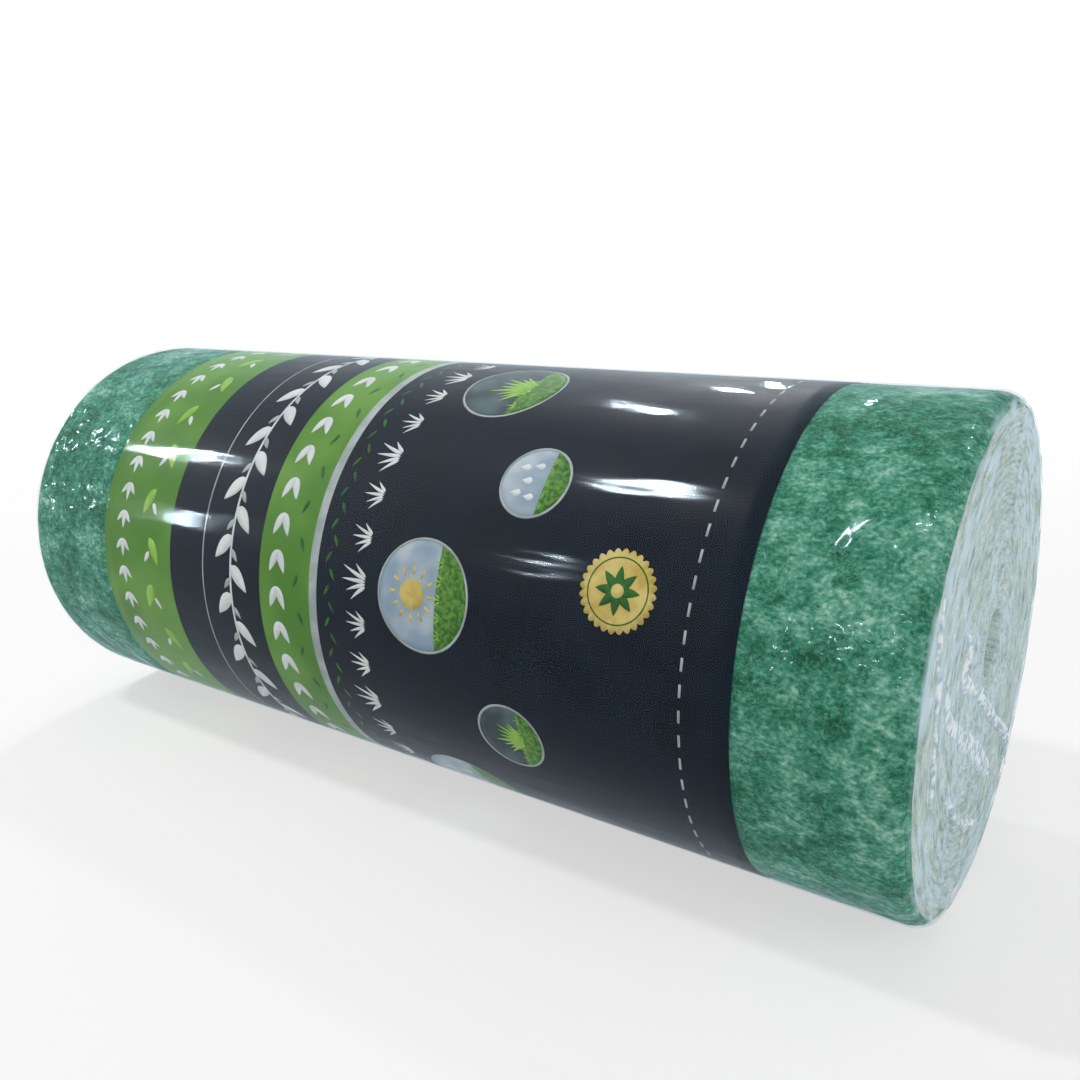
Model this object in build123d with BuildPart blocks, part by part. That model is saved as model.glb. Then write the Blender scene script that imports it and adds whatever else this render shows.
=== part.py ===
from build123d import *
import os
from math import degrees

# A roll of grass seed mat lying on its side: a long strip of seeded fibre mat rolled up
# on itself round a bore, a printed label wrapped round the middle, and clear shrink film
# closed tight over all of it. Millimetres. The roll's axis runs along X, the floor is
# z = 0, and the origin is on the floor under the middle of the roll.

# The mat: a strip as wide as the roll is long, and the roll that it makes
mat_width = 610.0
mat_roll_diameter = 256.0
bore_diameter = 34.0
mat_thickness = 3.3
turn_crown = 0.8
mat_rim_radius = 12.0

# The label: one printed sheet wrapped once round the roll, its last end lapped over
label_width = 445.0
label_from_left_end = 89.0
label_thickness = 0.2
label_lap = 24.0
label_lap_angle = -28.0
label_clearance = 0.1

# The film: one closed skin, shrunk over the mat and the label
film_thickness = 0.3
film_clearance = 0.1

mat_radius = mat_roll_diameter / 2
bore_radius = bore_diameter / 2
mat_half_width = mat_width / 2
turns = round((mat_radius - bore_radius) / mat_thickness)
turn_pitch = (mat_radius - bore_radius) / turns

label_inner_radius = mat_radius + label_clearance
label_radius = label_inner_radius + label_thickness
label_lap_radius = label_radius + label_thickness
label_left = label_from_left_end - mat_half_width
label_lap_sweep = degrees(label_lap / label_radius)

film_inner_radius = label_lap_radius + film_clearance
film_radius = film_inner_radius + film_thickness
film_inner_length = mat_width + 2 * film_clearance
film_length = film_inner_length + 2 * film_thickness
film_inner_rim_radius = mat_rim_radius
film_rim_radius = film_inner_rim_radius + film_thickness

# The wrapped roll lies on the floor, so its axis is as high as its own radius
axis_height = film_radius
roll_axis = Axis((0, 0, axis_height), (1, 0, 0))

# Half profiles are drawn here: x along the roll, y outwards from its axis
profile_plane = Plane(origin=(0, 0, axis_height), x_dir=(1, 0, 0), z_dir=(0, -1, 0))

# The label's section is drawn here, at its left edge, looking back along the roll
label_section_plane = Plane(
    origin=(label_left, 0, axis_height), x_dir=(0, 1, 0), z_dir=(1, 0, 0)
)


def capsule_profile(length, radius, rim_radius):
    """Half section of a closed cylinder whose two rims are rounded."""
    Rectangle(length, radius, align=(Align.CENTER, Align.MIN))
    fillet(vertices().group_by(Axis.Y)[-1], radius=rim_radius)


# The mat, one turned solid: each turn of the strip shows on both ends as a crowned ring,
# and the outermost turns round off at the rim
with BuildPart() as seed_mat_roll:
    with BuildSketch(profile_plane):
        with BuildLine():
            valley = mat_half_width - turn_crown
            for side in (-1, 1):
                for turn in range(turns):
                    inner = bore_radius + turn * turn_pitch
                    ThreePointArc(
                        (side * valley, inner),
                        (side * mat_half_width, inner + turn_pitch / 2),
                        (side * valley, inner + turn_pitch),
                    )
            for radius in (bore_radius, mat_radius):
                Line((-valley, radius), (valley, radius))
        make_face()
        with BuildSketch(mode=Mode.PRIVATE) as rounded:
            capsule_profile(mat_width, mat_radius, mat_rim_radius)
        add(rounded.sketch, mode=Mode.INTERSECT)
    revolve(axis=roll_axis)
seed_mat_roll.part.label = "seed_mat_roll"

# The label: a thin sleeve, twice as thick where the sheet laps over its own start
with BuildPart() as printed_label:
    with BuildSketch(label_section_plane):
        Circle(label_radius)
        Circle(label_inner_radius, mode=Mode.SUBTRACT)
        with BuildLine():
            under = CenterArc((0, 0), label_radius, label_lap_angle, label_lap_sweep)
            over = CenterArc((0, 0), label_lap_radius, label_lap_angle, label_lap_sweep)
            Line(under @ 0, over @ 0)
            Line(under @ 1, over @ 1)
        make_face()
    extrude(amount=label_width)
printed_label.part.label = "printed_label"

# The film: closed over both ends and the bore, as it shrinks in one piece
with BuildPart() as shrink_film:
    with BuildSketch(profile_plane):
        with BuildSketch(mode=Mode.PRIVATE) as outside:
            capsule_profile(film_length, film_radius, film_rim_radius)
        with BuildSketch(mode=Mode.PRIVATE) as inside:
            capsule_profile(film_inner_length, film_inner_radius, film_inner_rim_radius)
        add(outside.sketch)
        add(inside.sketch, mode=Mode.SUBTRACT)
    revolve(axis=roll_axis)
shrink_film.part.label = "shrink_film"

os.makedirs("parts", exist_ok=True)
for piece in (seed_mat_roll, printed_label, shrink_film):
    export_step(piece.part, f"parts/{piece.part.label}.step")
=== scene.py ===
"""The looks of a shrink-wrapped roll of grass seed mat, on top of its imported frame.

Three pieces stand for the three CAD nodes: the rolled mat with its spiral turns, the
printed label sleeve and the clear film over both. Metres, in the CAD's own frame.
"""

from math import atan2, cos, exp, pi, radians, sin, sqrt, tau

import bmesh
import bpy
from mathutils import Matrix, Vector, noise


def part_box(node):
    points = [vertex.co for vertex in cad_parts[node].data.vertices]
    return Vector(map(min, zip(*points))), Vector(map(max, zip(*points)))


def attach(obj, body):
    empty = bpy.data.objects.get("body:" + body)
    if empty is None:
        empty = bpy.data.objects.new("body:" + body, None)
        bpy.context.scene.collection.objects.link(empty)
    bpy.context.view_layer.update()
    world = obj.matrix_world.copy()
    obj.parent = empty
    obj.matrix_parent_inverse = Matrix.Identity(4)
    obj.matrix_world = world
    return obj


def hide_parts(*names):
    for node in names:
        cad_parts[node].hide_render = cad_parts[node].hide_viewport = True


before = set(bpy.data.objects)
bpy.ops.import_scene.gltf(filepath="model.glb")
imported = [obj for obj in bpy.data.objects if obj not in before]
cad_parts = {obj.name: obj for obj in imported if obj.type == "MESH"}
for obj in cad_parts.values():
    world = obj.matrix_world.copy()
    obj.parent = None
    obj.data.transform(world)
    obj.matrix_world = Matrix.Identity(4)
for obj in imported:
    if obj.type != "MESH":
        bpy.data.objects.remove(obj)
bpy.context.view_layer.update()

MM = 0.001

# The frame's own measures
MAT_LOW, MAT_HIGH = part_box("seed_mat_roll")
LABEL_LOW, LABEL_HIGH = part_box("printed_label")
FILM_LOW, FILM_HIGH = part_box("shrink_film")
AXIS_HEIGHT = (FILM_LOW.z + FILM_HIGH.z) / 2
MAT_RADIUS = (MAT_HIGH.y - MAT_LOW.y) / 2
MAT_HALF_WIDTH = MAT_HIGH.x
FILM_RADIUS = (FILM_HIGH.y - FILM_LOW.y) / 2
FILM_HALF_LENGTH = FILM_HIGH.x
LABEL_LEFT = LABEL_LOW.x
LABEL_WIDTH = LABEL_HIGH.x - LABEL_LOW.x

# The roll sags on the floor under its own weight: its underside is pressed in
SAG_DEPTH = 5.0 * MM
SAG_ANGLE = -pi / 2
SAG_SPREAD = radians(28)

# The strip: its turns, its outer end down at the underside, and how far the middle of the
# near end is pulled off the axis
BORE_RADIUS = 17 * MM
BORE_SHIFT = Vector((0, 14 * MM, 8 * MM))
TURNS = 34
TURN_PITCH = (MAT_RADIUS - BORE_RADIUS) / TURNS
STRIP_END_ANGLE = radians(-105)
STEP_SPREAD = radians(150)
MAT_STEPS = 176
RIM_RADIUS = 10 * MM
TURN_CROWN = 0.9 * MM
END_DISH = 0.9 * MM
MAT_SET_BACK = 0.55 * MM
UNDER_LABEL = 0.45 * MM
SIDE_CELLS = 96

# The mat's soft faces: how high the fluff is, and how many clumps, hairs and streaks of
# fibre there are to a metre
FLUFF = 0.35 * MM
CLUMPS = 90
HAIRS = 260
CUT_STREAKS = 330

# The label: one sheet, once round and lapped at the back
LABEL_START_ANGLE = radians(-28)
LABEL_LAP = 24 * MM
LABEL_THICKNESS = 0.2 * MM
LABEL_CLEARANCE = 0.1 * MM
LABEL_RADIUS = MAT_RADIUS + LABEL_CLEARANCE
LABEL_STEPS = 180
RIPPLE = 0.12 * MM
INK_THICKNESS = 0.035 * MM
INK_LIFT = 0.01 * MM

# The film: how thick, how finely cut, how far its wrinkles go in, and how its folds stand
FILM_WALL = 0.12 * MM
FILM_STEPS = 288
FILM_END_RINGS = 31
FILM_RIM_RINGS = 8
FILM_SIDE_RINGS = 72
PLEATS = 46
PLEAT_DEPTH = 0.5 * MM
FILM_DENT = 0.15 * MM
FOLD_WIDTH = 8 * MM
FOLD_HEIGHT = 2.2 * MM
FOLD_CELLS = 26
FOLD_SINK = 0.1 * MM
FOLD_EDGE_DROP = 0.3 * MM

# The film's look: its mirror, and the heights of the wrinkles that are too fine to model
MIRROR_TINT = (0.72, 0.87, 1.0, 1.0)
MIRROR_ROUGHNESS = 0.085
PLASTIC_IOR = 1.3
STREAK_HEIGHT = 0.34
BLISTER_HEIGHT = 2.3
HOOP_HEIGHT = 1.6

# The photograph's camera, in radii of the roll about its middle
VIEW_PLACE = Vector((2.9748, -3.7509, 1.4679))
VIEW_YAW = radians(-34.98)
VIEW_PITCH = radians(15.69)
VIEW_ROLL = radians(1.16)
VIEW_FOCAL_PIXELS = 999.2
PHOTO_PIXELS = 1080
SENSOR_WIDTH = 36.0

# The studio: its fill light, its floor and the point that the lamps face
FILL_STRENGTH = 0.44
FLOOR_SIZE = 12
FLOOR_SHADOW_TO = 0.4
FLOOR_WHITE_FROM = 1.4
LAMP_AIM = Vector((0.1, 0, AXIS_HEIGHT))


def srgb(red, green, blue):
    """A colour read off as 0 to 255, as the linear colour a shader wants."""
    linear = []
    for value in (red, green, blue):
        share = value / 255
        linear.append(share / 12.92 if share <= 0.04045 else ((share + 0.055) / 1.055) ** 2.4)
    return (*linear, 1.0)


def smooth_step(low, high, value):
    share = min(1.0, max(0.0, (value - low) / (high - low)))
    return share * share * (3 - 2 * share)


def turned_by(angle, start):
    """An angle about the axis, counted from start, from 0 up to a full turn."""
    return (angle - start) % tau


# Mesh helpers


def spin_profile(points, steps, start_angle, merge):
    """Spins a profile of (x, radius) points once round the roll's axis. Returns the bmesh
    and the vertices of the last copy, which lies on the first where it isn't merged."""
    shape = bmesh.new()
    chain = []
    for x, radius in points:
        place = Vector((x, radius * cos(start_angle), radius * sin(start_angle)))
        chain.append(shape.verts.new(place))
    for one, two in zip(chain, chain[1:]):
        shape.edges.new((one, two))
    spun = bmesh.ops.spin(
        shape,
        geom=shape.verts[:] + shape.edges[:],
        cent=(0, 0, 0),
        axis=(1, 0, 0),
        angle=tau,
        steps=steps,
        use_merge=merge,
        use_duplicate=False,
    )
    last = {v for v in spun["geom_last"] if isinstance(v, bmesh.types.BMVert)}
    return shape, last


def close_up(shape, weld=0.01 * MM):
    """Welds the seam, fills what is still open and turns the faces outwards."""
    bmesh.ops.remove_doubles(shape, verts=shape.verts, dist=weld)
    rim = [e for e in shape.edges if e.is_boundary]
    if rim:
        bmesh.ops.holes_fill(shape, edges=rim, sides=0)
    bmesh.ops.recalc_face_normals(shape, faces=shape.faces)


def settle(place):
    """Lays a point of the roll, given about its axis, on the floor as the weight of the
    roll presses it: the underside is pressed in, and the whole roll comes down by that."""
    radius = sqrt(place.y**2 + place.z**2)
    if radius > 0:
        angle = atan2(place.z, place.y)
        off = (angle - SAG_ANGLE + pi) % tau - pi
        press = SAG_DEPTH / FILM_RADIUS * exp(-((off / SAG_SPREAD) ** 2))
        shrink = 1 - press * (radius / FILM_RADIUS)
        place = Vector((place.x, place.y * shrink, place.z * shrink))
    return place + Vector((0, 0, AXIS_HEIGHT - SAG_DEPTH))


def add_shape(shape, extra):
    """Adds a second bmesh to the first, and frees it."""
    scratch = bpy.data.meshes.new("scratch")
    extra.to_mesh(scratch)
    extra.free()
    shape.from_mesh(scratch)
    bpy.data.meshes.remove(scratch)


def extrude_up(flat, height):
    """Gives a flat shape a thickness upwards."""
    top = bmesh.ops.extrude_face_region(flat, geom=flat.faces[:])
    raised = [v for v in top["geom"] if isinstance(v, bmesh.types.BMVert)]
    bmesh.ops.translate(flat, verts=raised, vec=(0, 0, height))


def mesh_object(shape, name, materials):
    """Turns a bmesh into an object of the scene."""
    mesh = bpy.data.meshes.new(name)
    shape.to_mesh(mesh)
    shape.free()
    for material in materials:
        mesh.materials.append(material)
    thing = bpy.data.objects.new(name, mesh)
    bpy.context.scene.collection.objects.link(thing)
    return thing


def finish_piece(shape, name, materials, node):
    """Turns a bmesh made about the roll's axis into a piece that stands for a node."""
    for vert in shape.verts:
        vert.co = settle(vert.co)
    for face in shape.faces:
        face.smooth = True
    piece = mesh_object(shape, name, materials)
    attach(piece, "root")
    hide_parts(node)
    return piece


# Material helpers


class Finish:
    """A material or a world under construction: short names for the nodes it needs."""

    def __init__(self, owner, output="ShaderNodeOutputMaterial"):
        self.owner = owner
        self.owner.use_nodes = True
        self.tree = owner.node_tree
        self.tree.nodes.clear()
        self.output = self.add(output)

    def add(self, kind, **settings):
        node = self.tree.nodes.new(kind)
        for key, value in settings.items():
            setattr(node, key, value)
        return node

    def feed(self, socket, value):
        if hasattr(value, "links"):
            self.tree.links.new(value, socket)
        elif value is not None:
            socket.default_value = value

    def place(self, scale=(1, 1, 1)):
        """Object coordinates about the roll's axis, scaled."""
        coords = self.add("ShaderNodeTexCoord").outputs["Object"]
        mapping = self.add("ShaderNodeMapping")
        self.feed(mapping.inputs["Vector"], coords)
        height = AXIS_HEIGHT - SAG_DEPTH
        mapping.inputs["Location"].default_value = (0, 0, -height * scale[2])
        mapping.inputs["Scale"].default_value = scale
        return mapping.outputs["Vector"]

    def noise(self, vector, scale, detail=2.0, roughness=0.5, distortion=0.0):
        node = self.add("ShaderNodeTexNoise")
        self.feed(node.inputs["Vector"], vector)
        node.inputs["Scale"].default_value = scale
        node.inputs["Detail"].default_value = detail
        node.inputs["Roughness"].default_value = roughness
        node.inputs["Distortion"].default_value = distortion
        return node.outputs["Fac"]

    def math(self, operation, one, two=None, three=None, clamp=False):
        node = self.add("ShaderNodeMath", operation=operation, use_clamp=clamp)
        self.feed(node.inputs[0], one)
        self.feed(node.inputs[1], two)
        self.feed(node.inputs[2], three)
        return node.outputs[0]

    def vector_math(self, operation, one, two=None):
        node = self.add("ShaderNodeVectorMath", operation=operation)
        self.feed(node.inputs[0], one)
        self.feed(node.inputs[1], two)
        return node

    def span(self, value, low, high, new_low=0.0, new_high=1.0, smooth=True):
        """Takes a value from one range to another, and holds it inside."""
        kind = "SMOOTHSTEP" if smooth else "LINEAR"
        node = self.add("ShaderNodeMapRange", interpolation_type=kind)
        self.feed(node.inputs["Value"], value)
        node.inputs["From Min"].default_value = low
        node.inputs["From Max"].default_value = high
        node.inputs["To Min"].default_value = new_low
        node.inputs["To Max"].default_value = new_high
        return node.outputs["Result"]

    def blend(self, share, one, two):
        """One colour at a share of 0, the other at 1."""
        node = self.add("ShaderNodeMix", data_type="RGBA")
        self.feed(node.inputs["Factor"], share)
        self.feed(node.inputs["A"], one)
        self.feed(node.inputs["B"], two)
        return node.outputs["Result"]

    def mix(self, share, one, two):
        """One shader at a share of 0, the other at 1."""
        node = self.add("ShaderNodeMixShader")
        self.feed(node.inputs[0], share)
        self.feed(node.inputs[1], one)
        self.feed(node.inputs[2], two)
        return node.outputs[0]

    def diffuse(self, colour):
        node = self.add("ShaderNodeBsdfDiffuse")
        self.feed(node.inputs["Color"], colour)
        return node.outputs[0]

    def ramp(self, value, stops):
        node = self.add("ShaderNodeValToRGB")
        self.feed(node.inputs["Fac"], value)
        band = node.color_ramp
        while len(band.elements) < len(stops):
            band.elements.new(0.5)
        for element, (at, colour) in zip(band.elements, stops):
            element.position = at
            element.color = colour
        return node.outputs["Color"]

    def bump(self, height, strength, distance):
        node = self.add("ShaderNodeBump")
        self.feed(node.inputs["Height"], height)
        node.inputs["Strength"].default_value = strength
        node.inputs["Distance"].default_value = distance
        return node.outputs["Normal"]

    def principled(self, colour, roughness, normal=None, **sockets):
        node = self.add("ShaderNodeBsdfPrincipled")
        self.feed(node.inputs["Base Color"], colour)
        self.feed(node.inputs["Roughness"], roughness)
        self.feed(node.inputs["Normal"], normal)
        for key, value in sockets.items():
            node.inputs[key.replace("_", " ")].default_value = value
        self.feed(self.output.inputs["Surface"], node.outputs["BSDF"])
        return node


def tangled_fibres(finish, vector, scale, width):
    """Thin crooked lines where a noise crosses its middle value: felted fibres."""
    wander = finish.noise(vector, scale, detail=1.0, roughness=0.6, distortion=1.2)
    off_middle = finish.math("ABSOLUTE", finish.math("SUBTRACT", wander, 0.5))
    return finish.span(off_middle, 0.0, width, 1.0, 0.0)


def outside_fibre():
    """The mat's dyed face: cloudy greens with pale fibres felted through."""
    finish = Finish(bpy.data.materials.new("felted_green_fibre"))
    place = finish.place((0.82, 1.08, 1.08))
    clouds = finish.noise(place, 44, detail=1.0, roughness=0.5)
    tufts = finish.noise(place, 170, detail=2.0, roughness=0.65, distortion=0.5)
    specks = finish.noise(place, 520, detail=1.0, roughness=0.6)
    mottle = finish.math("MULTIPLY_ADD", clouds, 0.34, finish.math("MULTIPLY", tufts, 0.38))
    mottle = finish.math("MULTIPLY_ADD", specks, 0.28, mottle)
    greens = finish.ramp(
        finish.span(mottle, 0.365, 0.645, smooth=False),
        [
            (0.0, srgb(14, 84, 60)),
            (0.28, srgb(30, 108, 82)),
            (0.55, srgb(62, 138, 112)),
            (0.8, srgb(106, 168, 146)),
            (1.0, srgb(152, 198, 180)),
        ],
    )
    pale_fibre = tangled_fibres(finish, place, 330, 0.035)
    colour = finish.blend(finish.math("MULTIPLY", pale_fibre, 0.26), greens, srgb(170, 214, 194))
    normal = finish.bump(finish.math("MULTIPLY_ADD", specks, 0.5, tufts), 0.6, 0.6 * MM)
    finish.principled(colour, 0.95, normal, IOR=1.3)
    return finish.owner


def round_the_axis(finish, place, spacing):
    """Coordinates that run along the turns: streaks drawn with them follow the rings."""
    split = finish.add("ShaderNodeSeparateXYZ")
    finish.feed(split.inputs[0], place)
    across = finish.add("ShaderNodeCombineXYZ")
    finish.feed(across.inputs["Y"], split.outputs["Y"])
    finish.feed(across.inputs["Z"], split.outputs["Z"])
    length = finish.vector_math("LENGTH", across.outputs[0])
    heading = finish.vector_math("NORMALIZE", across.outputs[0])
    wound = finish.vector_math("SCALE", heading.outputs[0])
    wound.inputs["Scale"].default_value = 5.0
    lift = finish.add("ShaderNodeCombineXYZ")
    finish.feed(lift.inputs["X"], finish.math("MULTIPLY", length.outputs["Value"], spacing))
    return finish.vector_math("ADD", wound.outputs[0], lift.outputs[0]).outputs[0]


def end_fibre():
    """The strip's cut edge: undyed pale fibre whose streaks follow the turns."""
    finish = Finish(bpy.data.materials.new("cut_edge_fibre"))
    place = finish.place()
    streaks = finish.noise(round_the_axis(finish, place, 420.0), 1.6, detail=3.0, roughness=0.65)
    clouds = finish.noise(place, 60, detail=2.0, roughness=0.6)
    specks = finish.noise(place, 700, detail=1.0, roughness=0.6)
    tone = finish.math("MULTIPLY_ADD", streaks, 0.65, finish.math("MULTIPLY", clouds, 0.25))
    tone = finish.math("MULTIPLY_ADD", specks, 0.15, tone)
    colour = finish.ramp(
        finish.span(tone, 0.38, 0.68, smooth=False),
        [
            (0.0, srgb(122, 144, 136)),
            (0.35, srgb(172, 193, 185)),
            (0.7, srgb(206, 219, 213)),
            (1.0, srgb(236, 242, 238)),
        ],
    )
    normal = finish.bump(finish.math("ADD", streaks, specks), 0.6, 0.6 * MM)
    finish.principled(colour, 0.95, normal, IOR=1.3)
    return finish.owner


def printed_ink(name, colour, other, scale, roughness=0.45):
    """A printed ink under the film: it drifts between two near colours in soft clouds."""
    finish = Finish(bpy.data.materials.new(name))
    place = finish.place()
    clouds = finish.noise(place, scale, detail=2.0, roughness=0.6)
    tinted = finish.blend(finish.span(clouds, 0.35, 0.66), colour, other)
    gloss = finish.span(clouds, 0.3, 0.7, roughness - 0.05, roughness + 0.06)
    finish.principled(tinted, gloss, IOR=1.3, Specular_IOR_Level=0.15)
    return finish.owner


def film_zones(finish, place):
    """Shares from 0 to 1: on an end, in a patch, and where the film is free to blister,
    which is where no label lies under it and along the rims."""
    split = finish.add("ShaderNodeSeparateXYZ")
    finish.feed(split.inputs[0], place)
    x = split.outputs["X"]
    reach = finish.math("ABSOLUTE", x)
    label_right = LABEL_LEFT + LABEL_WIDTH
    on_end = finish.span(reach, FILM_HALF_LENGTH - 4 * MM, FILM_HALF_LENGTH - 1.2 * MM)
    near_rim = finish.span(reach, FILM_HALF_LENGTH - 30 * MM, FILM_HALF_LENGTH - 6 * MM)
    left_of_label = finish.span(x, LABEL_LEFT - 8 * MM, LABEL_LEFT + 2 * MM, 1.0, 0.0)
    right_of_label = finish.span(x, label_right, label_right + 12 * MM)
    patches = finish.span(finish.noise(place, 22, detail=0.0), 0.4, 0.6)
    bare = finish.math("MULTIPLY_ADD", right_of_label, patches, left_of_label)
    return on_end, patches, finish.math("MULTIPLY_ADD", near_rim, patches, bare)


def film_wrinkles(finish, place, hoops, on_end, free):
    """The wrinkles too fine to model, in millimetres: long ones down the roll, blisters
    where the film is free, and hoops round the ends."""
    streaks = finish.noise(finish.place((0.14, 1, 1)), 120, detail=1.0, roughness=0.5)
    blisters = finish.noise(place, 84, detail=1.0, roughness=0.45)
    blistered = finish.math("MULTIPLY", blisters, free)
    hooped = finish.math("MULTIPLY", hoops, on_end)
    height = finish.math("MULTIPLY", streaks, STREAK_HEIGHT)
    height = finish.math("MULTIPLY_ADD", blistered, BLISTER_HEIGHT, height)
    height = finish.math("MULTIPLY_ADD", hooped, HOOP_HEIGHT, height)
    return finish.bump(height, 1.0, MM)


def clear_film(name, gathered):
    """Clear film: it passes what is behind it, and mirrors more the flatter it is seen. It
    is clouded in bands where it is stretched over the ends. Where it is gathered it is clouded
    at random from near white to blue-grey: partly thicker and thinner film, and partly
    painted highlight and painted shade in its folds."""
    finish = Finish(bpy.data.materials.new(name))
    place = finish.place()
    on_end, patches, free = film_zones(finish, place)
    hoops = finish.noise(round_the_axis(finish, place, 150.0), 1.3, detail=1.0, roughness=0.5)
    normal = film_wrinkles(finish, place, hoops, on_end, free)
    if gathered:
        rumples = finish.noise(place, 200, detail=1.0, roughness=0.6)
        # Near white and blue-grey at random: partly more and less film, and partly painted
        # highlight and painted shade in the folds.
        film_layers_and_painted_shade = finish.span(rumples, 0.36, 0.62)
        haze = finish.blend(film_layers_and_painted_shade, srgb(176, 204, 222), srgb(248, 252, 254))
        clouding = finish.span(rumples, 0.3, 0.62, 0.5, 0.95)
    else:
        haze = srgb(206, 230, 242)
        bands = finish.span(hoops, 0.38, 0.64, 0.03, 0.8)
        veil = finish.span(patches, 0.0, 1.0, 0.35, 1.0)
        clouding = finish.math("MULTIPLY", finish.math("MULTIPLY", bands, veil), on_end)
    passing = finish.add("ShaderNodeBsdfTransparent").outputs[0]
    skin = finish.mix(clouding, passing, finish.diffuse(haze))

    mirror = finish.add("ShaderNodeBsdfGlossy")
    mirror.inputs["Color"].default_value = MIRROR_TINT
    mirror.inputs["Roughness"].default_value = MIRROR_ROUGHNESS
    finish.feed(mirror.inputs["Normal"], normal)
    flatness = finish.add("ShaderNodeFresnel")
    flatness.inputs["IOR"].default_value = PLASTIC_IOR
    finish.feed(flatness.inputs["Normal"], normal)
    strength = finish.span(on_end, 0.0, 1.0, 0.5, 0.2)
    shine = finish.math("MULTIPLY", flatness.outputs[0], strength)
    face = finish.mix(shine, skin, mirror.outputs[0])

    # The wall's inner face, and light on its way to the mat or from it, pass through
    path = finish.add("ShaderNodeLightPath")
    light = finish.math("MAXIMUM", path.outputs["Is Shadow Ray"], path.outputs["Is Diffuse Ray"])
    behind = finish.add("ShaderNodeNewGeometry").outputs["Backfacing"]
    whole = finish.mix(finish.math("MAXIMUM", light, behind), face, passing)
    finish.feed(finish.output.inputs["Surface"], whole)
    return finish.owner


# The mat roll


def dish(radius):
    """How far an end is sunk at this radius: the rim stands a little proud of the rest."""
    return END_DISH * (1 - smooth_step(0.5, 0.92, radius / MAT_RADIUS))


def end_reach(radius):
    """How far out along X the mat's end stands at this radius."""
    into_rim = min(RIM_RADIUS, max(0.0, radius - (MAT_RADIUS - RIM_RADIUS)))
    rounded = MAT_HALF_WIDTH - RIM_RADIUS + sqrt(RIM_RADIUS**2 - into_rim**2)
    return rounded - MAT_SET_BACK - dish(radius)


def mat_profile():
    """The mat's half section, as a closed loop of (x, radius): a crown for each turn."""
    crown = ((0.0, 1.0), (0.2, 0.35), (0.5, 0.0), (0.8, 0.35))
    end = []
    for turn in range(TURNS):
        for share, depth in crown:
            radius = BORE_RADIUS + (turn + share) * TURN_PITCH
            end.append((end_reach(radius) - depth * TURN_CROWN, radius))
    outside_reach = MAT_HALF_WIDTH - RIM_RADIUS - MAT_SET_BACK
    outside = []
    for step in range(SIDE_CELLS + 1):
        outside.append((outside_reach * (1 - 2 * step / SIDE_CELLS), MAT_RADIUS))
    left_end = [(-x, radius) for x, radius in reversed(end)]
    bore = [(share * outside_reach, BORE_RADIUS) for share in (-0.5, 0, 0.5)]
    loop = end + outside + left_end + bore
    return loop + [loop[0]]


def mat_shape():
    """The mat. Each ring steps in by one turn as it comes back to the strip's outer end, so
    that together they are a spiral."""
    shape, last = spin_profile(mat_profile(), MAT_STEPS, STRIP_END_ANGLE, merge=False)
    end_start = MAT_HALF_WIDTH - 0.75 * RIM_RADIUS - MAT_SET_BACK
    for vert in shape.verts:
        x, angle = vert.co.x, atan2(vert.co.z, vert.co.y)
        radius = sqrt(vert.co.y**2 + vert.co.z**2)
        round_by = tau if vert in last else turned_by(angle, STRIP_END_ANGLE)
        # The first copy lies at 0, though rounding may put it a hair under a full turn
        if tau - round_by < 1e-5 and vert not in last:
            round_by = 0.0
        radius -= TURN_PITCH * (1 - smooth_step(0, STEP_SPREAD, round_by))
        side = Vector((0, cos(angle), sin(angle)))
        at = Vector((x, 0, 0)) + side * radius
        fluff = noise.noise(at * CLUMPS) + 0.7 * noise.noise(at * HAIRS)
        if radius > MAT_RADIUS - 1.3 * TURN_PITCH and abs(x) < end_start:
            pressed = under_label(x)
            radius += FLUFF * fluff * (1 - pressed) - UNDER_LABEL * pressed
        elif abs(x) > end_start:
            streak = noise.noise(Vector((radius * CUT_STREAKS, side.y * 3, side.z * 3)))
            x += (0.7 * streak + 0.35 * fluff) * TURN_CROWN * (1 if x > 0 else -1) * 0.6
        inwards = max(0.0, 1 - radius / MAT_RADIUS)
        off_middle = BORE_SHIFT * smooth_step(0.1, 0.3, x) * inwards**1.5
        vert.co = Vector((x, 0, 0)) + side * radius + off_middle
    close_up(shape)
    mark_cut_edges(shape)
    return shape


def under_label(x):
    """1 where the label lies over the mat, and 0 clear of it."""
    from_left = smooth_step(-2 * MM, 4 * MM, x - LABEL_LEFT)
    return from_left * smooth_step(-2 * MM, 4 * MM, LABEL_LEFT + LABEL_WIDTH - x)


def mark_cut_edges(shape):
    """Gives the ends, inside their rims, and the bore the undyed fibre."""
    end_line = MAT_HALF_WIDTH - RIM_RADIUS - MAT_SET_BACK
    for face in shape.faces:
        middle = face.calc_center_median()
        radius = sqrt(middle.y**2 + middle.z**2)
        on_end = abs(middle.x) > end_line + 0.3 * MM
        inside_rim = radius < MAT_RADIUS - 0.54 * RIM_RADIUS
        in_bore = radius < MAT_RADIUS / 2
        face.material_index = int(in_bore or (on_end and inside_rim))


# The label's print, drawn flat in millimetres: u along the roll from the label's left edge,
# v round it. Here is where each band and row of it lies along u

BAND_A = (0.0, 69.5)
FINE_LINE = (101.0, 101.9)
BAND_B = (152.5, 193.5)
SILVER_STRIPE = (193.5, 199.5)
SPRIG_ROW = 20
PALE_LEAF_ROW = 48
VINE_STEM = 127.0
LEAF_PAIR_ROW = 167
DARK_BLADE_ROW = 184
FINE_BLADE_ROW = 209
GRASS_ROW = 236
LARGE_PICTURE_ROW = 275
SMALL_PICTURE_ROW = 326
ROSETTE_ROW = 386
DASHED_LINE = (421, 422.2)
AROUND = tau * LABEL_RADIUS / MM
SHEET_LENGTH = AROUND + LABEL_LAP / MM


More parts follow.
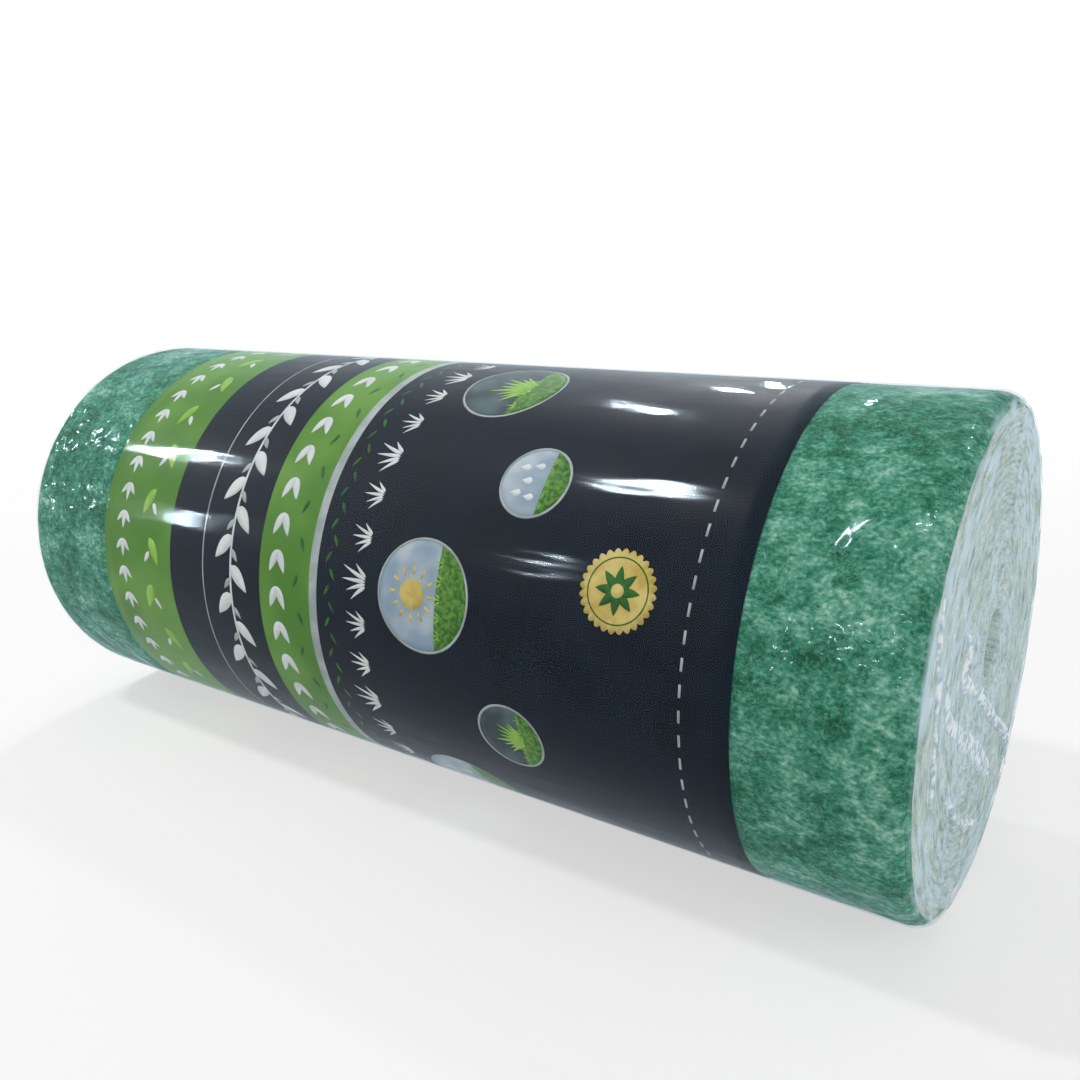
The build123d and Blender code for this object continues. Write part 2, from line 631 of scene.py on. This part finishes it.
class Print:
    """Ink shapes in flat millimetres. Each is a closed thin slab of its own ink."""

    def __init__(self):
        self.shape = bmesh.new()

    def _slab(self, flat, ink, layer):
        """Gives a flat shape its thickness and adds it to the print."""
        low = (INK_LIFT + layer * INK_THICKNESS) / MM
        for vert in flat.verts:
            vert.co.z = low
        bmesh.ops.recalc_face_normals(flat, faces=flat.faces)
        if flat.faces[:][0].normal.z < 0:
            bmesh.ops.reverse_faces(flat, faces=flat.faces)
        extrude_up(flat, INK_THICKNESS / MM)
        bmesh.ops.recalc_face_normals(flat, faces=flat.faces)
        for face in flat.faces:
            face.material_index = ink
        add_shape(self.shape, flat)

    def bar(self, u0, u1, v0, v1, ink, layer=0, cell=6.0):
        """A straight-sided patch, cut into cells so that it can follow the roll."""
        flat = bmesh.new()
        along = max(1, round((v1 - v0) / cell))
        bmesh.ops.create_grid(flat, x_segments=1, y_segments=along, size=0.5)
        for vert in flat.verts:
            vert.co.x = u0 + (vert.co.x + 0.5) * (u1 - u0)
            vert.co.y = v0 + (vert.co.y + 0.5) * (v1 - v0)
        self._slab(flat, ink, layer)

    def leaf(self, u, v, length, width, heading, ink, layer=0, bend=0.0, fullness=0.75):
        """A pointed blade from (u, v): heading in degrees, bend sideways as a share."""
        flat = bmesh.new()
        bmesh.ops.create_grid(flat, x_segments=8, y_segments=2, size=0.5)
        turn = Matrix.Rotation(radians(heading), 4, "Z")
        for vert in flat.verts:
            share = vert.co.x + 0.5
            half = vert.co.y * width * max(0.0, sin(pi * share**fullness)) ** 0.85
            swing = bend * length * share**2
            local = Vector((share * length, half + swing, 0))
            vert.co = turn @ local + Vector((u, v, 0))
        bmesh.ops.remove_doubles(flat, verts=flat.verts, dist=0.01)
        self._slab(flat, ink, layer)

    def disc(self, u, v, outer, ink, layer=0, inner=0.0, scallops=0, depth=0.0, below=None):
        """A round patch or ring. Its edge may be scalloped, or the disc may be cut so that
        only what lies below a line, that far right of its middle, is left."""
        flat = bmesh.new()
        steps = max(36, scallops * 6)
        rings = max(1, round((outer - inner) / 5))
        chain = []
        for ring in range(rings + 1):
            reach = inner + (outer - inner) * ring / rings
            chain.append(flat.verts.new((reach, 0, 0)))
        for one, two in zip(chain, chain[1:]):
            flat.edges.new((one, two))
        bmesh.ops.spin(
            flat,
            geom=flat.verts[:] + flat.edges[:],
            cent=(0, 0, 0),
            axis=(0, 0, 1),
            angle=tau,
            steps=steps,
            use_merge=True,
            use_duplicate=False,
        )
        bmesh.ops.remove_doubles(flat, verts=flat.verts, dist=0.001)
        for vert in flat.verts:
            if scallops and vert.co.length > outer - 0.01:
                wave = abs(cos(scallops / 2 * atan2(vert.co.y, vert.co.x)))
                vert.co *= 1 + depth * (wave - 0.5) / outer
        if below is not None:
            bmesh.ops.bisect_plane(
                flat,
                geom=flat.verts[:] + flat.edges[:] + flat.faces[:],
                plane_co=(below, 0, 0),
                plane_no=(1, 0, 0),
                clear_inner=True,
            )
        bmesh.ops.translate(flat, verts=flat.verts, vec=(u, v, 0))
        self._slab(flat, ink, layer)

    def ray(self, u, v, start, end, width, heading, ink, layer=0):
        """A small straight bar that points away from (u, v)."""
        flat = bmesh.new()
        bmesh.ops.create_grid(flat, x_segments=1, y_segments=1, size=0.5)
        turn = Matrix.Rotation(radians(heading), 4, "Z")
        for vert in flat.verts:
            local = Vector((start + (vert.co.x + 0.5) * (end - start), vert.co.y * width, 0))
            vert.co = turn @ local + Vector((u, v, 0))
        self._slab(flat, ink, layer)


# Each ink: its colour, the colour it drifts to, and how fine the drifts are
INKS = {
    "navy": (srgb(5, 17, 28), srgb(10, 24, 37), 30),
    "band_green": (srgb(78, 128, 42), srgb(104, 152, 64), 16),
    "silver": (srgb(150, 162, 162), srgb(176, 186, 186), 60),
    "white": (srgb(222, 228, 228), srgb(206, 214, 216), 60),
    "deep_green": (srgb(38, 88, 40), srgb(56, 110, 46), 90),
    "lime": (srgb(132, 184, 70), srgb(158, 200, 92), 60),
    "gold": (srgb(190, 166, 84), srgb(214, 196, 122), 90),
    "dusk": (srgb(52, 66, 70), srgb(86, 104, 108), 40),
    "sky": (srgb(138, 160, 178), srgb(190, 202, 210), 36),
    "lawn": (srgb(52, 104, 40), srgb(104, 150, 66), 420),
}
INK_SLOT = {ink: slot for slot, ink in enumerate(INKS)}


def ink_materials():
    return [
        printed_ink("ink_" + ink, colour, other, scale)
        for ink, (colour, other, scale) in INKS.items()
    ]


def grass_tuft(drawn, u, v, size, ink, layer, blades):
    """A fan of thin grass blades from one root, growing towards the label's left edge."""
    middle = (blades - 1) / 2
    for blade in range(blades):
        lean = (blade - middle) / middle
        length = size * (1 - 0.38 * abs(lean) ** 1.5) * (0.88 + 0.12 * cos(4.1 * blade))
        drawn.leaf(
            u,
            v - lean * size * 0.12,
            length,
            size * 0.105,
            180 + lean * 30,
            INK_SLOT[ink],
            layer,
            bend=0.16 * lean,
            fullness=0.55,
        )


def medallion(drawn, u, v, radius, scene):
    """A ringed round picture of something plain over a lawn: a sun, raindrops or grass."""
    drawn.disc(u, v, radius - 0.6, INK_SLOT["dusk" if scene == "grass" else "sky"])
    drawn.disc(u, v, radius - 0.7, INK_SLOT["lawn"], 1, below=radius * 0.3)
    drawn.disc(u, v, radius, INK_SLOT["silver"], 2, inner=radius - 1.3)
    ground = u + radius * 0.3
    if scene == "sun":
        drawn.disc(u - radius * 0.22, v, radius * 0.27, INK_SLOT["gold"], 1)
        for ray in range(12):
            drawn.ray(
                u - radius * 0.22,
                v,
                radius * 0.34,
                radius * 0.5,
                radius * 0.05,
                30 * ray,
                INK_SLOT["gold"],
                1,
            )
    elif scene == "rain":
        for row, column in ((0, 0), (-1, -1), (-1, 1), (1, -1.2), (1, 1.2)):
            drawn.leaf(
                u - radius * (0.42 - 0.2 * row),
                v + radius * 0.36 * column,
                radius * 0.34,
                radius * 0.2,
                0,
                INK_SLOT["white"],
                1,
                fullness=1.8,
            )
    else:
        grass_tuft(drawn, ground + radius * 0.12, v, radius * 0.98, "lime", 1, blades=9)
    for tuft in range(5):
        place = (tuft - 2) * radius * 0.31
        grass_tuft(drawn, ground + radius * 0.1, v + place, radius * 0.26, "lime", 2, blades=3)


def places_round(count, first=0.5):
    """Evenly spaced places round the label, the first a share of the spacing from its start."""
    spacing = AROUND / count
    return [(place + first) * spacing for place in range(count)]


def green_band_print(drawn):
    """The wide band's sprigs and pale leaves, and the second band's leaf pairs."""
    white, lime, deep_green = (INK_SLOT[ink] for ink in ("white", "lime", "deep_green"))
    for v in places_round(44):
        for lean in (-42, 0, 42):
            drawn.leaf(SPRIG_ROW, v - 4, 12.0 - abs(lean) * 0.04, 3.6, 90 + lean, white)
    for leaf, v in enumerate(places_round(26)):
        lean = 34 if leaf % 2 else -34
        drawn.leaf(PALE_LEAF_ROW, v - 9, 19, 7.5, 90 + lean, lime, bend=-0.004 * lean)
        drawn.leaf(PALE_LEAF_ROW, v, 9, 3.4, 90 - lean, white)
    for pair, v in enumerate(places_round(38)):
        drawn.leaf(LEAF_PAIR_ROW, v - 4, 14.5, 5.4, 90 - 30, white, bend=0.1)
        drawn.leaf(LEAF_PAIR_ROW, v - 4, 14.5, 5.4, 90 + 30, white, bend=-0.1)
        drawn.leaf(DARK_BLADE_ROW, v + 8, 9, 2.6, 66 if pair % 2 else 114, deep_green)


def vine_print(drawn):
    """A bold pale vine on the navy between the bands. It stops short of the label's lap."""
    white, silver = INK_SLOT["white"], INK_SLOT["silver"]
    drawn.bar(VINE_STEM - 0.8, VINE_STEM + 0.8, 6, AROUND - 6, white)
    spacing = AROUND / 46
    for leaf in range(45):
        v = 8 + leaf * spacing
        side = 1 if leaf % 2 else -1
        drawn.leaf(VINE_STEM, v, 20, 8.6, 90 - side * 50, white, bend=side * 0.12)
        drawn.leaf(VINE_STEM, v + 8, 9, 3.6, 90 + side * 46, silver, bend=-side * 0.1)


def grass_print(drawn):
    """A fine row of green blades beside the bands, then a row of white grass."""
    for blade, v in enumerate(places_round(88)):
        heading = 60 if blade % 2 else 120
        drawn.leaf(FINE_BLADE_ROW, v, 7.5, 2.0, heading, INK_SLOT["deep_green"])
    for tuft, v in enumerate(places_round(34)):
        grass_tuft(drawn, GRASS_ROW, v, 17 if tuft % 3 else 21, "white", 0, blades=5)


def picture_print(drawn):
    """Round pictures in two staggered columns."""
    scenes = ("grass", "sun", "rain")
    stagger = AROUND / 6 / 2
    for place, v in enumerate(places_round(6, 0.27)):
        medallion(drawn, LARGE_PICTURE_ROW, v, 30, scenes[(place + 1) % 3])
        medallion(drawn, SMALL_PICTURE_ROW, v + stagger, 20, scenes[place % 3])


def rosette_print(drawn):
    """Plain gold rosettes, and a dashed line near the right edge."""
    gold, deep_green = INK_SLOT["gold"], INK_SLOT["deep_green"]
    for v in places_round(3, 0.555):
        drawn.disc(ROSETTE_ROW, v, 18.5, gold, scallops=28, depth=2.0)
        drawn.disc(ROSETTE_ROW, v, 15.6, deep_green, 1, inner=14.9)
        for petal in range(8):
            drawn.leaf(ROSETTE_ROW, v, 11.5, 4.6, 45 * petal, deep_green, 1)
        drawn.disc(ROSETTE_ROW, v, 3.2, gold, 2)
    for v in places_round(68, 0.0):
        drawn.bar(*DASHED_LINE, v + 2, v + 8, INK_SLOT["silver"])


def label_print():
    """Every ink shape on the label, drawn flat."""
    drawn = Print()
    for part in (green_band_print, vine_print, grass_print, picture_print, rosette_print):
        part(drawn)
    return drawn.shape


def round_the_roll(u, v, height):
    """A flat point of the print, u and v in millimetres, as a point about the roll."""
    lapped = smooth_step(SHEET_LENGTH - 1.6 * LABEL_LAP / MM, SHEET_LENGTH - LABEL_LAP / MM, v)
    x = LABEL_LEFT + u * MM
    angle = LABEL_START_ANGLE + v * MM / LABEL_RADIUS
    side = Vector((0, cos(angle), sin(angle)))
    ripple = noise.noise(Vector((x * 9, side.y * 5, side.z * 5)))
    radius = LABEL_RADIUS + height + lapped * LABEL_THICKNESS
    return Vector((x, 0, 0)) + side * (radius + RIPPLE * (ripple - 0.5))


def label_shape():
    """The sheet, with its bands as faces of their own, and the print on top."""
    edges = sorted({*BAND_A, *FINE_LINE, *BAND_B, *SILVER_STRIPE, LABEL_WIDTH / MM})
    columns = []
    for low, high in zip(edges, edges[1:]):
        cells = max(1, round((high - low) / 9))
        columns += [low + (high - low) * cell / cells for cell in range(cells)]
    columns.append(edges[-1])
    sheet = bmesh.new()
    bmesh.ops.create_grid(sheet, x_segments=len(columns) - 1, y_segments=LABEL_STEPS, size=0.5)
    for vert in sheet.verts:
        column = round((vert.co.x + 0.5) * (len(columns) - 1))
        vert.co = Vector((columns[column], (vert.co.y + 0.5) * SHEET_LENGTH, 0))
    for face in sheet.faces:
        u = face.calc_center_median().x
        face.material_index = INK_SLOT["navy"]
        for (low, high), ink in (
            (BAND_A, "band_green"),
            (FINE_LINE, "silver"),
            (BAND_B, "band_green"),
            (SILVER_STRIPE, "silver"),
        ):
            if low < u < high:
                face.material_index = INK_SLOT[ink]
    extrude_up(sheet, LABEL_THICKNESS / MM)
    for vert in sheet.verts:
        vert.co = round_the_roll(vert.co.x, vert.co.y, vert.co.z * MM)
    bmesh.ops.recalc_face_normals(sheet, faces=sheet.faces)
    inked = label_print()
    for vert in inked.verts:
        height = LABEL_THICKNESS + vert.co.z * MM
        vert.co = round_the_roll(vert.co.x, vert.co.y, height)
    add_shape(sheet, inked)
    return sheet


# The film

# Where the gathered film lies on the ends, as (y, z) in radii of the roll
RIGHT_END_FOLD = (
    (-0.461, 0.269),
    (-0.392, 0.176),
    (-0.426, 0.088),
    (-0.165, -0.054),
    (0.001, -0.156),
    (0.197, -0.296),
    (0.526, -0.507),
    (0.656, -0.705),
)
RIGHT_END_CREASE = (
    (-0.56, -0.28),
    (-0.495, -0.332),
    (-0.3, -0.5),
    (-0.059, -0.656),
    (0.1, -0.72),
)
RIGHT_END_SLACK = (
    (-0.7, 0.2),
    (-0.6, 0.02),
    (-0.38, -0.14),
    (-0.1, -0.32),
    (0.14, -0.47),
    (0.3, -0.6),
)
RIGHT_RIM_TUCK = (
    (-0.84, 0.52),
    (-0.865, 0.36),
    (-0.83, 0.2),
    (-0.8, 0.05),
    (-0.78, -0.1),
    (-0.76, -0.26),
)
LEFT_END_FOLD = (
    (-0.62, -0.42),
    (-0.41, -0.31),
    (-0.2, -0.04),
    (0.05, 0.06),
    (0.24, 0.27),
    (0.43, 0.58),
)
LEFT_END_CREASE = (
    (0.55, -0.2),
    (0.4, -0.36),
    (0.22, -0.42),
    (-0.02, -0.58),
    (-0.16, -0.72),
)

# Each fold: its path, its end's side, its width and height as shares, its twist, its seed
FOLDS = (
    (RIGHT_END_FOLD, 1, 1.0, 1.0, 0.5, 2.0),
    (RIGHT_END_CREASE, 1, 0.6, 0.6, 0.4, 11.0),
    (RIGHT_RIM_TUCK, 1, 0.55, 0.55, 0.06, 23.0),
    (RIGHT_END_SLACK, 1, 1.5, 0.4, 0.3, 31.0),
    (LEFT_END_FOLD, -1, 1.0, 1.0, 0.5, 5.0),
    (LEFT_END_CREASE, -1, 0.6, 0.6, 0.4, 17.0),
)


def film_profile():
    """Half section of the film, from the axis at one end to the axis at the other."""
    rim = RIM_RADIUS
    flat = FILM_RADIUS - rim
    near = [(FILM_HALF_LENGTH, flat * ring / FILM_END_RINGS) for ring in range(FILM_END_RINGS)]
    for ring in range(FILM_RIM_RINGS + 1):
        bend = pi / 2 * ring / FILM_RIM_RINGS
        near.append((FILM_HALF_LENGTH - rim + rim * cos(bend), flat + rim * sin(bend)))
    straight = FILM_HALF_LENGTH - rim
    middle = []
    for ring in range(1, FILM_SIDE_RINGS):
        spread = cos(pi * ring / FILM_SIDE_RINGS)
        middle.append((straight * spread * (0.62 + 0.38 * abs(spread)), FILM_RADIUS))
    far = [(-x, radius) for x, radius in reversed(near)]
    return near + middle + far


def fold_ribbon(shape, path, side, width, height, twist, seed):
    """A tuck of gathered film along a path of (y, z) points on one end: a ridge that
    wanders, swells and is twisted like a rope. It's left a single skin, as the film is,
    until the piece gets its wall."""
    fold = bmesh.new()
    legs = len(path) - 1
    bmesh.ops.create_grid(fold, x_segments=FOLD_CELLS * legs, y_segments=8, size=0.5)
    places = [Vector((0, y * FILM_RADIUS, z * FILM_RADIUS)) for y, z in path]
    for vert in fold.verts:
        along = (vert.co.x + 0.5) * legs
        across = vert.co.y * 2
        leg = min(int(along), legs - 1)
        here = bent_line(places, leg, along - leg)
        ahead = bent_line(places, leg, along - leg + 0.05)
        heading = (ahead - here).normalized()
        sideways = Vector((side, 0, 0)).cross(heading)
        fade = smooth_step(0, 0.7, along) * smooth_step(0, 0.7, legs - along)
        crumple = noise.noise(Vector((along * 1.9, across * 0.6, seed)))
        swell = 0.8 + 0.7 * noise.noise(Vector((along * 1.3, 0, seed + 3)))
        turn = 0.5 + 0.5 * sin(19 * along + 2.2 * across + 7 * crumple)
        round_top = max(0.0, 1 - across**2) ** 0.6
        ridge = round_top * (1 - twist * turn) * max(0.0, swell)
        half = width * (0.34 + 0.2 * swell) * (0.25 + 0.75 * fade)
        at = here + sideways * (across * half + 0.3 * width * crumple)
        reach = film_end_reach(sqrt(at.y**2 + at.z**2)) + height * fade * min(1.0, ridge)
        reach -= FOLD_SINK + FOLD_EDGE_DROP * across**6
        vert.co = Vector((side * reach, at.y, at.z))
    for face in fold.faces:
        face.material_index = 1
    add_shape(shape, fold)


def bent_line(places, leg, share):
    """A point on a smooth line through the places, on this leg of it."""
    one, two = places[leg], places[leg + 1]
    before = places[leg - 1] if leg > 0 else one * 2 - two
    after = places[leg + 2] if leg + 2 < len(places) else two * 2 - one
    lift = (two - before) / 2
    drop = (after - one) / 2
    cube, square = share**3, share**2
    return (
        one * (2 * cube - 3 * square + 1)
        + lift * (cube - 2 * square + share)
        + two * (3 * square - 2 * cube)
        + drop * (cube - square)
    )


def film_end_reach(radius):
    """How far out the film stands on an end, inside its rim."""
    return FILM_HALF_LENGTH - dish(radius) - 0.1 * MM


def film_shape():
    """A closed skin that hugs the roll, gathered in pleats where it turns over the rims."""
    shape, _ = spin_profile(film_profile(), FILM_STEPS, 0.0, merge=True)
    bmesh.ops.remove_doubles(shape, verts=shape.verts, dist=0.01 * MM)
    flat = FILM_RADIUS - RIM_RADIUS
    for vert in shape.verts:
        x, angle = vert.co.x, atan2(vert.co.z, vert.co.y)
        radius = sqrt(vert.co.y**2 + vert.co.z**2)
        from_end = FILM_HALF_LENGTH - abs(x)
        side = Vector((0, cos(angle), sin(angle)))
        wander = noise.noise(side * 2.3 + Vector((3 if x > 0 else 9, 0, 0)))
        wave = 0.5 + 0.5 * sin(PLEATS * (angle + 0.12 * wander) + 4 * wander)
        patch = smooth_step(-0.35, 0.45, noise.noise(side * 3.1 + Vector((x * 2, 5, 0))))
        along_side = 1 - smooth_step(RIM_RADIUS * 0.4, RIM_RADIUS * 2.4, from_end)
        on_end = smooth_step(flat * 0.45, flat * 0.98, radius)
        pleat = PLEAT_DEPTH * wave * patch * along_side * on_end
        dent = FILM_DENT * (0.5 + 0.5 * noise.noise(Vector((x * 7, side.y * 4, side.z * 4))))
        inward = pleat + dent
        lean = 1.0
        if from_end < RIM_RADIUS and radius < FILM_RADIUS - 0.01 * MM:
            lean = smooth_step(flat - 6 * MM, FILM_RADIUS, radius)
            inward += dish(radius)
        x -= inward * (1 - lean) * (1 if x > 0 else -1)
        radius -= inward * lean
        vert.co = Vector((x, radius * side.y, radius * side.z))
    close_up(shape)
    for path, side, width, height, twist, seed in FOLDS:
        fold_ribbon(shape, path, side, FOLD_WIDTH * width, FOLD_HEIGHT * height, twist, seed)
    return shape


# The pieces
mat_roll = finish_piece(
    mat_shape(), "rolled_seed_mat", [outside_fibre(), end_fibre()], "seed_mat_roll"
)
label = finish_piece(label_shape(), "label_sleeve", ink_materials(), "printed_label")
film = finish_piece(
    film_shape(),
    "clear_shrink_film",
    [clear_film("clear_film", False), clear_film("gathered_film", True)],
    "shrink_film",
)
wall = film.modifiers.new("film_wall", "SOLIDIFY")
wall.thickness = FILM_WALL
wall.offset = -1

# Light on its way to the mat passes the film anyway, and skipping it there saves time
film.visible_shadow = False
film.visible_diffuse = False


# The studio: a pale floor, a white surround and softboxes over the roll


def camera_ray_share(finish):
    """1 for what the camera, a mirror or clear film sees, 0 for light on the object."""
    path = finish.add("ShaderNodeLightPath")
    seen = finish.math("ADD", path.outputs["Is Camera Ray"], path.outputs["Is Glossy Ray"])
    return finish.math("ADD", seen, path.outputs["Is Transmission Ray"], clamp=True)


def pale_floor():
    """Near white to the camera, so that only the roll's soft shadow shows on it, and wholly
    white further out, where it meets the surround."""
    finish = Finish(bpy.data.materials.new("pale_floor"))
    coords = finish.add("ShaderNodeTexCoord").outputs["Object"]
    spread = finish.vector_math("LENGTH", coords).outputs["Value"]
    share = finish.span(spread, FLOOR_SHADOW_TO, FLOOR_WHITE_FROM, 0.6, 1.0)
    glow = finish.add("ShaderNodeEmission")
    glow.inputs["Color"].default_value = (1, 1, 1, 1)
    glowing = finish.math("MULTIPLY", camera_ray_share(finish), share)
    mixed = finish.mix(glowing, finish.diffuse((0.9, 0.9, 0.9, 1)), glow.outputs[0])
    finish.feed(finish.output.inputs["Surface"], mixed)
    return finish.owner


def lay_floor():
    shape = bmesh.new()
    bmesh.ops.create_grid(shape, x_segments=1, y_segments=1, size=FLOOR_SIZE)
    mesh_object(shape, "studio_floor", [pale_floor()])


def light_surround():
    """White to the camera and to mirrors, and a soft grey fill on the object."""
    world = bpy.data.worlds.new("studio")
    bpy.context.scene.world = world
    finish = Finish(world, "ShaderNodeOutputWorld")
    background = finish.add("ShaderNodeBackground")
    background.inputs["Color"].default_value = (1, 1, 1, 1)
    seen = camera_ray_share(finish)
    strength = finish.span(seen, 0.0, 1.0, FILL_STRENGTH, 1.0, smooth=False)
    finish.feed(background.inputs["Strength"], strength)
    finish.feed(finish.output.inputs["Surface"], background.outputs[0])


def softbox(name, towards, distance, width, height, radiance, only_mirrored=False):
    """An area lamp, that far from its aim along a direction and facing it. One that is only
    mirrored makes a glint on the film and adds no light."""
    direction = Vector(towards).normalized()
    lamp = bpy.data.lights.new(name, "AREA")
    lamp.shape = "RECTANGLE"
    lamp.size = width
    lamp.size_y = height
    lamp.energy = radiance * pi * width * height
    holder = bpy.data.objects.new(name, lamp)
    holder.location = LAMP_AIM + direction * distance
    holder.rotation_euler = (-direction).to_track_quat("-Z", "X").to_euler()
    holder.visible_diffuse = not only_mirrored
    bpy.context.scene.collection.objects.link(holder)


def set_camera():
    """The photograph's camera: its place and its three turns about the roll."""
    forward = Vector(
        (
            cos(VIEW_PITCH) * sin(VIEW_YAW),
            cos(VIEW_PITCH) * cos(VIEW_YAW),
            -sin(VIEW_PITCH),
        )
    )
    right = forward.cross(Vector((0, 0, 1))).normalized()
    down = forward.cross(right)
    tilted_right = right * cos(VIEW_ROLL) + down * sin(VIEW_ROLL)
    tilted_down = down * cos(VIEW_ROLL) - right * sin(VIEW_ROLL)
    camera = bpy.data.cameras.new("camera")
    camera.sensor_width = SENSOR_WIDTH
    camera.lens = VIEW_FOCAL_PIXELS / PHOTO_PIXELS * SENSOR_WIDTH
    holder = bpy.data.objects.new("camera", camera)
    place = VIEW_PLACE * FILM_RADIUS + Vector((0, 0, AXIS_HEIGHT - SAG_DEPTH))
    turn = Matrix((tilted_right, -tilted_down, -forward)).transposed()
    holder.matrix_world = Matrix.Translation(place) @ turn.to_4x4()
    bpy.context.scene.collection.objects.link(holder)
    bpy.context.scene.camera = holder


lay_floor()
light_surround()
softbox("lamp_front", (-0.415, -0.30, 0.83), 2.2, 0.28, 0.1, 190)
softbox("lamp_back", (-0.435, 0.435, 0.757), 2.2, 0.2, 0.07, 170)
softbox("lamp_low_back", (-0.355, 0.742, 0.533), 2.3, 0.17, 0.06, 140)
softbox("lamp_far_back", (-0.315, 0.835, 0.4), 2.3, 0.14, 0.03, 110)
softbox("lamp_left", (-0.818, -0.34, 0.465), 2.4, 0.24, 0.08, 150, only_mirrored=True)
softbox("lamp_low_left", (-0.806, -0.568, 0.165), 2.4, 0.2, 0.06, 120, only_mirrored=True)
softbox("lamp_low_front", (-0.51, -0.764, 0.392), 2.2, 0.16, 0.06, 130, only_mirrored=True)
softbox("lamp_rim", (0.005, 0.395, 0.919), 2.2, 0.14, 0.1, 150, only_mirrored=True)
softbox("lamp_low_right", (-0.166, -0.942, 0.292), 2.2, 0.12, 0.07, 130, only_mirrored=True)
softbox("lamp_key", (0.35, -0.75, 1.0), 2.6, 1.4, 1.2, 0.75)
softbox("lamp_end", (0.93, -0.05, 0.42), 2.2, 1.0, 0.8, 3.6)
set_camera()
bpy.context.scene.view_settings.view_transform = "Standard"
